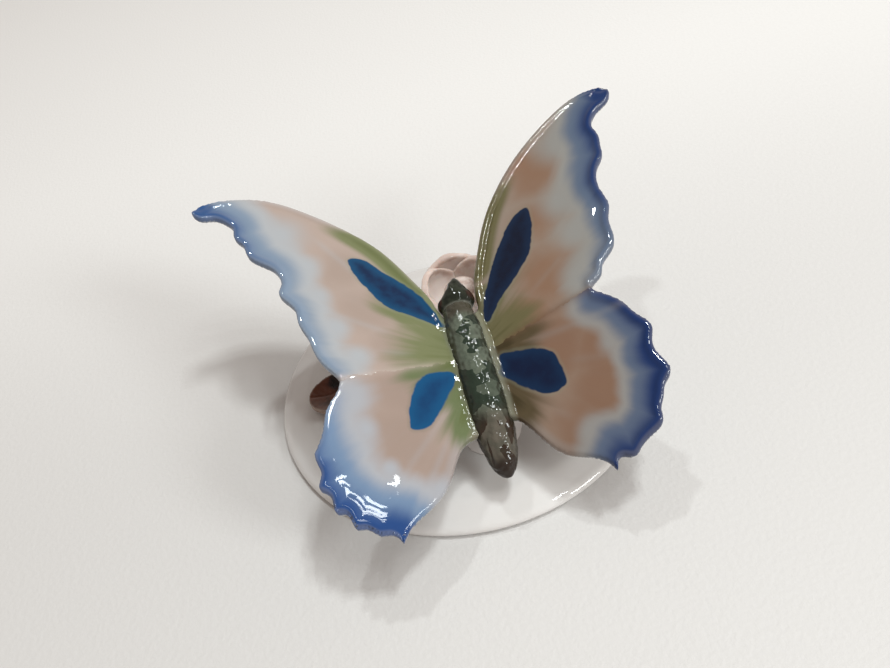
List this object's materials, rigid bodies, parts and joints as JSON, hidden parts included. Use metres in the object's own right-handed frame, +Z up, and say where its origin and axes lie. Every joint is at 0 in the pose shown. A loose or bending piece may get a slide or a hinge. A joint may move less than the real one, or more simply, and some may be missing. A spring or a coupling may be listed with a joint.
{
  "type": "butterfly ornament",
  "caption": "Porcelain butterfly with spread scalloped wings, held on a small mound over a low round plinth, with a cupped blossom and a single leaf beside it.",
  "frame": {"origin": "middle of the plinth's flat underside", "axes": "+Z up, +Y towards the butterfly's head, +X towards its right wing"},
  "size_m": [0.098, 0.0908, 0.0453],
  "materials": {
    "plinth_glaze": "clear gloss glaze over painted porcelain",
    "support_glaze": "clear gloss glaze over painted porcelain",
    "body_glaze": "clear gloss glaze over painted porcelain",
    "head_glaze": "clear gloss glaze over painted porcelain",
    "forewing_left_glaze": "clear gloss glaze over painted porcelain",
    "forewing_right_glaze": "clear gloss glaze over painted porcelain",
    "hindwing_left_glaze": "clear gloss glaze over painted porcelain",
    "hindwing_right_glaze": "clear gloss glaze over painted porcelain",
    "flower_foot_glaze": "clear gloss glaze over painted porcelain",
    "flower_heart_glaze": "clear gloss glaze over painted porcelain",
    "petal_glaze": "clear gloss glaze over painted porcelain",
    "leaf_glaze": "clear gloss glaze over painted porcelain"
  },
  "bodies": {
    "root": {"plinth": "plinth_glaze", "support": "support_glaze", "body": "body_glaze", "head": "head_glaze", "forewing_left": "forewing_left_glaze", "forewing_right": "forewing_right_glaze", "hindwing_left": "hindwing_left_glaze", "hindwing_right": "hindwing_right_glaze", "flower_foot": "flower_foot_glaze", "flower_heart": "flower_heart_glaze", "outer_petal_1": "petal_glaze", "outer_petal_2": "petal_glaze", "outer_petal_3": "petal_glaze", "inner_petal_1": "petal_glaze", "inner_petal_2": "petal_glaze", "inner_petal_3": "petal_glaze", "leaf": "leaf_glaze"}
  },
  "joints": []
}
